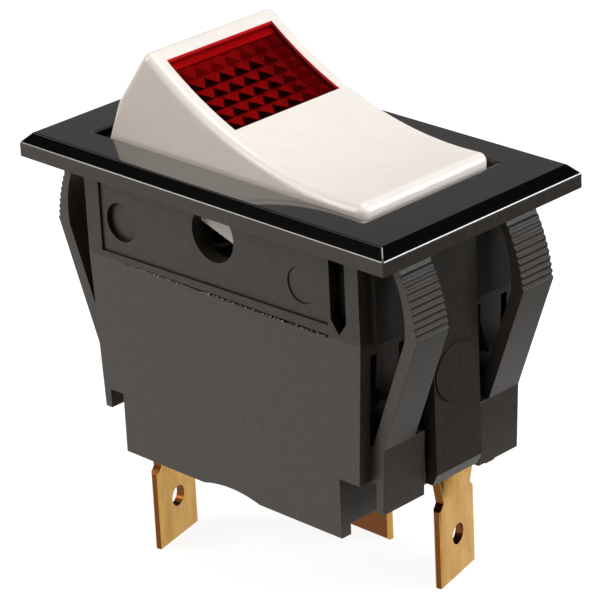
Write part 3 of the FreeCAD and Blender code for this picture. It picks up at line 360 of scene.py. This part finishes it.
def bezel_plastic():
    """One moulding with two finishes: polished black at the bezel's top, satin charcoal below."""
    material, tree, output = new_material("bezel_plastic")
    shader = add(tree, "ShaderNodeBsdfPrincipled")
    where = add(tree, "ShaderNodeTexCoord")
    split = add(tree, "ShaderNodeSeparateXYZ")
    tree.links.new(where.outputs["Object"], split.inputs["Vector"])
    low = (BEZEL_SIDE - POLISH_FADE) * MM
    high = (BEZEL_SIDE + POLISH_FADE) * MM
    polished = remap(tree, split.outputs["Z"], low, high, 0, 1)
    mottle = noise(tree, 1.6)
    satin = blend_colour(tree, remap(tree, mottle, 0.35, 0.65, 0, 1), SHELL_DARK, SHELL_LIGHT)
    # Painted shade: the satin's colour and sheen darken in gaps and holes
    clear = crevice_shade_mask(tree)
    satin = blend_colour(tree, clear, CREVICE_SHADE_COLOUR, satin)
    colour = blend_colour(tree, polished, satin, BEZEL_BLACK)
    tree.links.new(colour, shader.inputs["Base Color"])
    fine = noise(tree, 9.0)
    satin_rough = remap(tree, fine, 0.3, 0.7, *SATIN_ROUGHNESS)
    rough = add(tree, "ShaderNodeMix", data_type="FLOAT")
    tree.links.new(polished, rough.inputs["Factor"])
    tree.links.new(satin_rough, rough.inputs[2])
    rough.inputs[3].default_value = POLISHED_ROUGHNESS
    tree.links.new(rough.outputs[0], shader.inputs["Roughness"])
    sheen = add(tree, "ShaderNodeMix", data_type="FLOAT")
    tree.links.new(polished, sheen.inputs["Factor"])
    tree.links.new(remap(tree, clear, 0, 1, 0, SHELL_SHEEN), sheen.inputs[2])
    sheen.inputs[3].default_value = 0.5
    tree.links.new(sheen.outputs[0], shader.inputs["Specular IOR Level"])
    tree.links.new(polished, shader.inputs["Coat Weight"])
    shader.inputs["Coat Roughness"].default_value = 0.05
    add_bump(tree, shader, fine, 0.09, 0.01)
    tree.links.new(shader.inputs["Normal"].links[0].from_socket, shader.inputs["Coat Normal"])
    tree.links.new(shader.outputs["BSDF"], output.inputs["Surface"])
    return material


def lamp_glass():
    material, tree, output = new_material("lamp_glass")
    shader = add(tree, "ShaderNodeBsdfPrincipled")
    shader.inputs["Transmission Weight"].default_value = 1.0
    shader.inputs["IOR"].default_value = 1.5
    colour = blend_colour(tree, noise(tree, 1.0), *LAMP_GLASS)
    tree.links.new(colour, shader.inputs["Base Color"])
    tree.links.new(remap(tree, noise(tree, 4.0), 0.3, 0.7, 0.01, 0.04), shader.inputs["Roughness"])
    tree.links.new(shader.outputs["BSDF"], output.inputs["Surface"])
    return material


def lens_cover_material():
    """Clear red plastic: it lets straight light through and mirrors the room at its surface."""
    material, tree, output = new_material("lens_cover_red")
    clear = add(tree, "ShaderNodeBsdfTransparent")
    colour = blend_colour(tree, noise(tree, 0.5), *COVER_RED)
    tree.links.new(colour, clear.inputs["Color"])
    gloss = add(tree, "ShaderNodeBsdfGlossy")
    gloss.inputs["Color"].default_value = (1, 1, 1, 1)
    rough = remap(tree, noise(tree, 2.0), 0.3, 0.7, 0.03, 0.06)
    tree.links.new(rough, gloss.inputs["Roughness"])
    slant = add(tree, "ShaderNodeLayerWeight")
    slant.inputs["Blend"].default_value = 0.5
    steep = add(tree, "ShaderNodeMath", operation="POWER")
    tree.links.new(slant.outputs["Facing"], steep.inputs[0])
    steep.inputs[1].default_value = 5.0
    side = add(tree, "ShaderNodeNewGeometry")
    outer = remap(tree, side.outputs["Backfacing"], 0, 1, 1, 0)
    strength = add(tree, "ShaderNodeMath", operation="MULTIPLY")
    tree.links.new(remap(tree, steep.outputs[0], 0, 1, 0.035, 1), strength.inputs[0])
    tree.links.new(outer, strength.inputs[1])
    mix = add(tree, "ShaderNodeMixShader")
    tree.links.new(strength.outputs[0], mix.inputs["Fac"])
    tree.links.new(clear.outputs["BSDF"], mix.inputs[1])
    tree.links.new(gloss.outputs["BSDF"], mix.inputs[2])
    tree.links.new(mix.outputs["Shader"], output.inputs["Surface"])
    return material


def prism_material():
    """The red of the facets under the lens, with the painted light and shade that the mesh gives
    each face.
    """
    material, tree, output = new_material("lens_prism_red")
    shader = add(tree, "ShaderNodeBsdfPrincipled")
    colour = blend_colour(tree, noise(tree, 0.35), *PRISM_RED)
    facet = add(tree, "ShaderNodeAttribute", attribute_name="painted_lens_shading")
    scaled = add(tree, "ShaderNodeVectorMath", operation="SCALE")
    tree.links.new(colour, scaled.inputs[0])
    tree.links.new(facet.outputs["Fac"], scaled.inputs["Scale"])
    tree.links.new(scaled.outputs["Vector"], shader.inputs["Base Color"])
    rough = remap(tree, noise(tree, 2.0), 0.3, 0.7, 0.25, 0.35)
    tree.links.new(rough, shader.inputs["Roughness"])
    shader.inputs["Specular IOR Level"].default_value = 0.15
    tree.links.new(shader.outputs["BSDF"], output.inputs["Surface"])
    return material


# Meshes in the rocker's own frame

def to_row(point):
    """From the rocker's frame, whose origin is the pivot, to the row frame at rest, in metres."""
    x, y, z = point
    turned = Matrix.Rotation(REST_TILT, 3, "Y") @ Vector((x, y, z))
    return (turned + PIVOT) * MM


def dish_height(x, below=0.0):
    dish = TOP_END - TOP_MIDDLE
    radius = (TOP_HALF ** 2 + dish ** 2) / (2 * dish)
    centre = TOP_MIDDLE + radius
    return centre - math.sqrt((radius + below) ** 2 - x * x)


def mesh_object(name, vertices, faces, material):
    mesh = bpy.data.meshes.new(name)
    mesh.from_pydata([tuple(v) for v in vertices], [], faces)
    mesh.validate()
    tidy = bmesh.new()
    tidy.from_mesh(mesh)
    bmesh.ops.recalc_face_normals(tidy, faces=tidy.faces)
    tidy.to_mesh(mesh)
    tidy.free()
    mesh.materials.append(material)
    for polygon in mesh.polygons:
        polygon.use_smooth = False
    obj = bpy.data.objects.new(name, mesh)
    bpy.context.scene.collection.objects.link(obj)
    return obj


def dished_slab(name, left, right, half_width, top, bottom, material, steps=24):
    """A slab between two surfaces below the dished top, in the rocker's frame."""
    vertices = []
    for step in range(steps + 1):
        x = left + (right - left) * step / steps
        outline = (
            (-half_width, top), (half_width, top), (half_width, bottom), (-half_width, bottom))
        for y, below in outline:
            vertices.append(to_row((x, y, dish_height(x, below))))
    faces = []
    for step in range(steps):
        here = 4 * step
        there = here + 4
        for side in range(4):
            following = (side + 1) % 4
            faces.append((here + side, there + side, there + following, here + following))
    faces.append((0, 1, 2, 3))
    last = 4 * steps
    faces.append((last + 3, last + 2, last + 1, last))
    return mesh_object(name, vertices, faces, material)


def painted_lens_shading(row, column, side):
    """The painted shade of a facet: those that face down the slope are painted darkest, most in
    the middle.
    """
    lit = FIELD_PAINTED_LIGHT[column]
    if side != DOWN_SLOPE:
        return lit * FACET_SHADES[side]
    from_middle = abs(column - DARK_COLUMN) / DARK_SPREAD
    from_edge = DARK_FIRST_ROW - row
    shade = max(DOWN_SLOPE_LEAST, SHADE_PER_ROW * from_edge, SHADE_PER_SPREAD * (from_middle - 1))
    return lit * min(DOWN_SLOPE_MOST, shade)


def prism_field(name, material):
    """The underside of the lens: a smooth strip at each end, with rows of pyramids between."""
    left = LENS_LEFT + FIELD_END_GAP
    right = LENS_RIGHT - FIELD_END_GAP
    field_left = left + STRIP_UPPER
    field_right = right - STRIP_LOWER
    half = LENS_HALF_WIDTH - FIELD_SIDE_GAP
    floor = LENS_COVER + FIELD_BELOW_COVER
    wall_top = LENS_COVER + WALL_BELOW_COVER
    vertices = []
    faces = []
    shades = []

    def corner(x, y, below):
        vertices.append(to_row((x, y, dish_height(x, below))))
        return len(vertices) - 1

    # Painted light on the smooth end strips, painted shade on the thin line between each strip and
    # the pyramids
    strips = (
        (left, field_left - STRIP_LINE, UPPER_STRIP_SHADE),
        (field_left - STRIP_LINE, field_left, STRIP_LINE_SHADE),
        (field_right, field_right + STRIP_LINE, STRIP_LINE_SHADE),
        (field_right + STRIP_LINE, right, LOWER_STRIP_SHADE),
    )
    for low, high, shade in strips:
        outline = ((low, -half), (high, -half), (high, half), (low, half))
        faces.append(tuple(corner(x, y, floor) for x, y in outline))
        shades.append(shade)
    # Walls down to the pyramids: painted shade, darkest at the back, lightest at the upper end
    walls = (
        ((left, half), (right, half), BACK_WALL_SHADE),
        ((right, -half), (left, -half), FRONT_WALL_SHADE),
        ((left, -half), (left, half), UPPER_WALL_SHADE),
        ((right, half), (right, -half), LOWER_WALL_SHADE),
    )
    for start, end, shade in walls:
        for step in range(WALL_STEPS):
            here, there = (
                [start[axis] + (end[axis] - start[axis]) * part / WALL_STEPS for axis in (0, 1)]
                for part in (step, step + 1))
            faces.append((corner(*here, wall_top), corner(*there, wall_top),
                          corner(*there, floor), corner(*here, floor)))
            shades.append(shade)
    length = (field_right - field_left) / PRISM_ROWS
    width = 2 * half / PRISM_COLUMNS
    for row in range(PRISM_ROWS):
        for column in range(PRISM_COLUMNS):
            x = field_left + row * length
            y = -half + column * width
            ring = [corner(x, y, floor), corner(x + length, y, floor),
                    corner(x + length, y + width, floor), corner(x, y + width, floor)]
            peak = corner(x + PRISM_PEAK * length, y + width / 2, floor + PRISM_DEPTH)
            for side in range(4):
                faces.append((ring[side], ring[(side + 1) % 4], peak))
                shades.append(painted_lens_shading(row, column, side))
    field = mesh_object(name, vertices, faces, material)
    shade_layer = field.data.attributes.new("painted_lens_shading", "FLOAT", "FACE")
    shade_layer.data.foreach_set("value", shades)
    return field


# Stage and light

def seen_directly(tree):
    """1 for what the camera, a mirror or clear glass shows, 0 for light that falls on things."""
    path = add(tree, "ShaderNodeLightPath")
    seen = path.outputs["Is Camera Ray"]
    for name in ("Is Glossy Ray", "Is Transmission Ray"):
        either = add(tree, "ShaderNodeMath", operation="MAXIMUM")
        tree.links.new(seen, either.inputs[0])
        tree.links.new(path.outputs[name], either.inputs[1])
        seen = either.outputs[0]
    return seen


def make_floor():
    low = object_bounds()[0].z
    material, tree, output = new_material("floor_white")
    shader = add(tree, "ShaderNodeBsdfPrincipled")
    colour = blend_colour(tree, noise(tree, 0.002), FLOOR_DARK, FLOOR_LIGHT)
    tree.links.new(colour, shader.inputs["Base Color"])
    shader.inputs["Roughness"].default_value = 1.0
    shader.inputs["Specular IOR Level"].default_value = 0.0
    shader.inputs["Emission Color"].default_value = (1, 1, 1, 1)
    glow = remap(tree, seen_directly(tree), 0, 1, 0, FLOOR_GLOW)
    tree.links.new(glow, shader.inputs["Emission Strength"])
    tree.links.new(shader.outputs["BSDF"], output.inputs["Surface"])
    half = FLOOR_HALF
    corners = [(-half, -half, low), (half, -half, low), (half, half, low), (-half, half, low)]
    mesh_object("floor", corners, [(0, 1, 2, 3)], material)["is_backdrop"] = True


def make_world():
    world = bpy.data.worlds.new("studio")
    bpy.context.scene.world = world
    world.use_nodes = True
    tree = world.node_tree
    tree.nodes.clear()
    output = tree.nodes.new("ShaderNodeOutputWorld")
    lit = add(tree, "ShaderNodeBackground")
    lit.inputs["Color"].default_value = (*AMBIENT_COLOUR, 1)
    lit.inputs["Strength"].default_value = AMBIENT_LEVEL
    shown = add(tree, "ShaderNodeBackground")
    shown.inputs["Color"].default_value = (1, 1, 1, 1)
    shown.inputs["Strength"].default_value = 1.0
    mix = add(tree, "ShaderNodeMixShader")
    tree.links.new(seen_directly(tree), mix.inputs["Fac"])
    tree.links.new(lit.outputs["Background"], mix.inputs[1])
    tree.links.new(shown.outputs["Background"], mix.inputs[2])
    tree.links.new(mix.outputs["Shader"], output.inputs["Surface"])


def softbox(name, direction, width, radiance, colour, gloss_only):
    """A square area lamp that faces the object, with its brightness given as radiance."""
    data = bpy.data.lights.new(name, "AREA")
    data.shape = "SQUARE"
    data.size = width
    data.color = colour
    data.energy = radiance * math.pi * width * width
    lamp = bpy.data.objects.new(name, data)
    lamp.location = Vector(direction).normalized() * LAMP_DISTANCE
    lamp.rotation_mode = "QUATERNION"
    lamp.rotation_quaternion = (-lamp.location).to_track_quat("-Z", "Y")
    lamp.visible_diffuse = not gloss_only
    bpy.context.scene.collection.objects.link(lamp)
    return lamp


def light_only(lamp, name, obj):
    """Shields a lamp so that it reaches one object alone."""
    receivers = bpy.data.collections.new(name)
    receivers.objects.link(obj)
    lamp.light_linking.receiver_collection = receivers


def stage_card(name, corners, level):
    """A studio card that only shows in polished surfaces, such as the top of the bezel."""
    material, tree, output = new_material(name)
    glow = add(tree, "ShaderNodeEmission")
    shade = (level, level * 0.97, level * 0.94)
    colour = blend_colour(tree, noise(tree, 0.01), shade, [value * 1.15 for value in shade])
    tree.links.new(colour, glow.inputs["Color"])
    tree.links.new(glow.outputs["Emission"], output.inputs["Surface"])
    card = mesh_object(name, corners, [(0, 1, 2, 3)], material)
    for kind in ("camera", "diffuse", "shadow", "transmission"):
        setattr(card, f"visible_{kind}", False)
    card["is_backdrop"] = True


def reflection_card(name, direction, distance, width, height, level):
    """A card that stands in one direction from the object and faces it."""
    centre = Vector(direction).normalized() * distance
    across = centre.cross(Vector((0, 0, 1))).normalized() * width / 2
    up = across.cross(centre).normalized() * height / 2
    low = centre - up
    high = centre + up
    corners = [low - across, low + across, high + across, high - across]
    stage_card(name, corners, level)


def floor_card(name, x_span, y_span, level):
    """A dark card on the floor by the right end: the end wall's sheen shows it, not the floor."""
    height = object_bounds()[0].z + 0.5 * MM
    corners = [(x_span[0], y_span[0], height), (x_span[1], y_span[0], height),
               (x_span[1], y_span[1], height), (x_span[0], y_span[1], height)]
    stage_card(name, corners, level)


# Assembly

def edge_tree(name):
    """A geometry node tree with its two ends and the angle at each edge."""
    tree = bpy.data.node_groups.new(name, "GeometryNodeTree")
    for way in ("INPUT", "OUTPUT"):
        tree.interface.new_socket("Geometry", in_out=way, socket_type="NodeSocketGeometry")
    source = tree.nodes.new("NodeGroupInput")
    sink = tree.nodes.new("NodeGroupOutput")
    angle = tree.nodes.new("GeometryNodeInputMeshEdgeAngle")
    return tree, source, sink, angle


def angle_shading(degrees):
    """Geometry nodes that shade a mesh smooth, but for edges that turn by more than an angle."""
    tree, source, sink, angle = edge_tree("angle_shading")
    shallow = add(tree, "FunctionNodeCompare", data_type="FLOAT", operation="LESS_THAN")
    shallow.inputs[1].default_value = math.radians(degrees)
    shade = add(tree, "GeometryNodeSetShadeSmooth", domain="EDGE")
    tree.links.new(angle.outputs["Unsigned Angle"], shallow.inputs[0])
    tree.links.new(source.outputs["Geometry"], shade.inputs["Geometry"])
    tree.links.new(shallow.outputs["Result"], shade.inputs["Shade Smooth"])
    tree.links.new(shade.outputs["Geometry"], sink.inputs["Geometry"])
    return tree


def shade_solid(obj, shading):
    """Joins a solid's faces and shades them by the angles between them."""
    own_normals = obj.data.attributes.get("custom_normal")
    if own_normals:
        obj.data.attributes.remove(own_normals)
    for polygon in obj.data.polygons:
        polygon.use_smooth = True
    weld = obj.modifiers.new("weld", "WELD")
    weld.merge_threshold = WELD_DISTANCE
    nodes_modifier = obj.modifiers.new("shading", "NODES")
    nodes_modifier.node_group = shading


def polished_edges(above, degrees):
    """Geometry nodes that mark the sharp edges above a height for the bevel that follows."""
    tree, source, sink, angle = edge_tree("polished_edges")
    sharp = add(tree, "FunctionNodeCompare", data_type="FLOAT", operation="GREATER_THAN")
    sharp.inputs[1].default_value = math.radians(degrees)
    place = tree.nodes.new("GeometryNodeInputPosition")
    split = add(tree, "ShaderNodeSeparateXYZ")
    high = add(tree, "FunctionNodeCompare", data_type="FLOAT", operation="GREATER_THAN")
    high.inputs[1].default_value = above * MM
    both = add(tree, "FunctionNodeBooleanMath", operation="AND")
    mark = add(tree, "GeometryNodeStoreNamedAttribute", data_type="FLOAT", domain="EDGE")
    mark.inputs["Name"].default_value = "bevel_weight_edge"
    tree.links.new(angle.outputs["Unsigned Angle"], sharp.inputs[0])
    tree.links.new(place.outputs["Position"], split.inputs["Vector"])
    tree.links.new(split.outputs["Z"], high.inputs[0])
    tree.links.new(sharp.outputs["Result"], both.inputs[0])
    tree.links.new(high.outputs["Result"], both.inputs[1])
    tree.links.new(source.outputs["Geometry"], mark.inputs["Geometry"])
    tree.links.new(both.outputs["Boolean"], mark.inputs["Value"])
    tree.links.new(mark.outputs["Geometry"], sink.inputs["Geometry"])
    return tree


def round_polished_edges(obj):
    """The small radius that a polished moulding has at its edges, which catches the light."""
    marking = obj.modifiers.new("polished_edges", "NODES")
    marking.node_group = polished_edges(POLISHED_ABOVE, POLISHED_DEGREES)
    bevel = obj.modifiers.new("edge_radius", "BEVEL")
    bevel.limit_method = "WEIGHT"
    bevel.width = POLISHED_EDGE * MM
    bevel.segments = 3
    bevel.use_clamp_overlap = False
    bevel.harden_normals = False
    names = [modifier.name for modifier in obj.modifiers]
    obj.modifiers.move(names.index("shading"), len(names) - 1)
    flat = obj.modifiers.new("flat_faces", "WEIGHTED_NORMAL")
    flat.weight = 100
    flat.keep_sharp = True


def dress_solids():
    shading = angle_shading(CREASE_DEGREES)
    charcoal = moulded_plastic("housing_charcoal", CHARCOAL_DARK, CHARCOAL_LIGHT, 0.42, edge=0.09,
                               sheen=CHARCOAL_SHEEN, painted_crevice_shade=True)
    white = moulded_plastic("rocker_white", *ROCKER_WHITE, 0.22, grain=0.5, bump=0.02)
    brass = metal("terminal_brass", *BRASS, 0.27, stretch=(1, 1, 0.25), side_shade=BRASS_SIDE_SHADE)
    copper = metal("blade_copper", *COPPER, 0.3, stretch=(0.2, 1, 1))
    silver = metal("contact_silver", *SILVER, 0.22)
    steel = metal("wire_steel", *STEEL, 0.28)
    natural = moulded_plastic("plunger_natural", *PLUNGER_NATURAL, 0.35)
    beige = moulded_plastic("resistor_beige", *RESISTOR_BEIGE, 0.25)
    sleeve = moulded_plastic("sleeve_clear", *SLEEVE_CLEAR, 0.3)
    finishes = {
        "bezel_frame": bezel_plastic(),
        "lower_housing": charcoal,
        "lamp_holder": charcoal,
        "rocker": white,
        "plunger": natural,
        "plunger_spring": steel,
        "contact_blade": copper,
        "moving_contact": silver,
        "fixed_contact": silver,
        "load_terminal": brass,
        "common_terminal": brass,
        "lamp_terminal": brass,
        "lamp_bulb": lamp_glass(),
        "lamp_electrode_front": steel,
        "lamp_electrode_back": steel,
        "resistor": beige,
        "lamp_return_lead": steel,
        "lamp_supply_lead": steel,
        "resistor_lead": steel,
        "lead_sleeve": sleeve,
    }
    for name, material in finishes.items():
        obj = nodes[name]
        obj.data.materials.clear()
        obj.data.materials.append(material)
        shade_solid(obj, shading)
    round_polished_edges(nodes["bezel_frame"])


def compress_spring():
    """Gives the plunger's spring a mesh of its own; its shape is left as it is."""
    spring = nodes["plunger_spring"]
    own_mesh(spring)


def seam_flash():
    """The rough line of plastic squeezed out of the weld between the mouldings, at the front."""
    material = moulded_plastic("flash_charcoal", *FLASH_CHARCOAL, 0.4, grain=6.0)
    draw = random.Random(FLASH_SEED)
    vertices = []
    faces = []
    face = -(BODY_HALF_WIDTH + SEAM_PROUD)
    x = FLASH_START
    while x < FLASH_END:
        length = draw.uniform(*FLASH_LENGTH)
        low = SEAM_Z - draw.uniform(*FLASH_BELOW)
        high = SEAM_Z + draw.uniform(*FLASH_ABOVE)
        proud = draw.uniform(*FLASH_PROUD)
        first = len(vertices)
        corners = ((x, low), (x + length, low), (x + length, high), (x, high))
        vertices.extend((px * MM, face * MM, pz * MM) for px, pz in corners)
        peak = (x + length / 2, face - proud, (low + high) / 2)
        vertices.append(tuple(value * MM for value in peak))
        faces.extend((first + side, first + (side + 1) % 4, first + 4) for side in range(4))
        faces.append((first + 3, first + 2, first + 1, first))
        x += length * draw.uniform(*FLASH_STEP)
    # A near-black ribbon behind the flash: painted shade of the groove along the seam
    line = moulded_plastic("seam_groove_shade", *SEAM_GROOVE_SHADE, 0.6, sheen=0.0)
    outline = (
        (FLASH_START, SEAM_Z + SEAM_LINE_LEFT[0]), (FLASH_END, SEAM_Z + SEAM_LINE_RIGHT[0]),
        (FLASH_END, SEAM_Z + SEAM_LINE_RIGHT[1]), (FLASH_START, SEAM_Z + SEAM_LINE_LEFT[1]),
    )
    ribbon = [(px * MM, (face - SEAM_PROUD) * MM, pz * MM) for px, pz in outline]
    pieces = (
        mesh_object("seam_flash", vertices, faces, material),
        mesh_object("seam_line", ribbon, [(0, 1, 2, 3)], line),
    )
    for piece in pieces:
        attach(piece, "case")


def dress_lens():
    cover = dished_slab("lens_cover", LENS_LEFT + LENS_CLEARANCE, LENS_RIGHT - LENS_CLEARANCE,
                        LENS_HALF_WIDTH - LENS_CLEARANCE, 0.0, LENS_COVER, lens_cover_material())
    prisms = prism_field("lens_prisms", prism_material())
    for piece in (cover, prisms):
        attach(piece, "rocker_body")
        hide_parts("lens")


make_camera()
make_floor()
make_world()
lamps = {lamp[0]: softbox(*lamp) for lamp in LAMPS}
for card in CARDS:
    reflection_card(*card)
floor_card("card_floor", (0.028, 0.25), (-0.03, 0.25), 0.01)
light_only(lamps["box_end"], "lit_by_box_end", nodes["rocker"])
dress_solids()
dress_lens()
seam_flash()
compress_spring()

scene = bpy.context.scene
scene.view_settings.view_transform = "Standard"
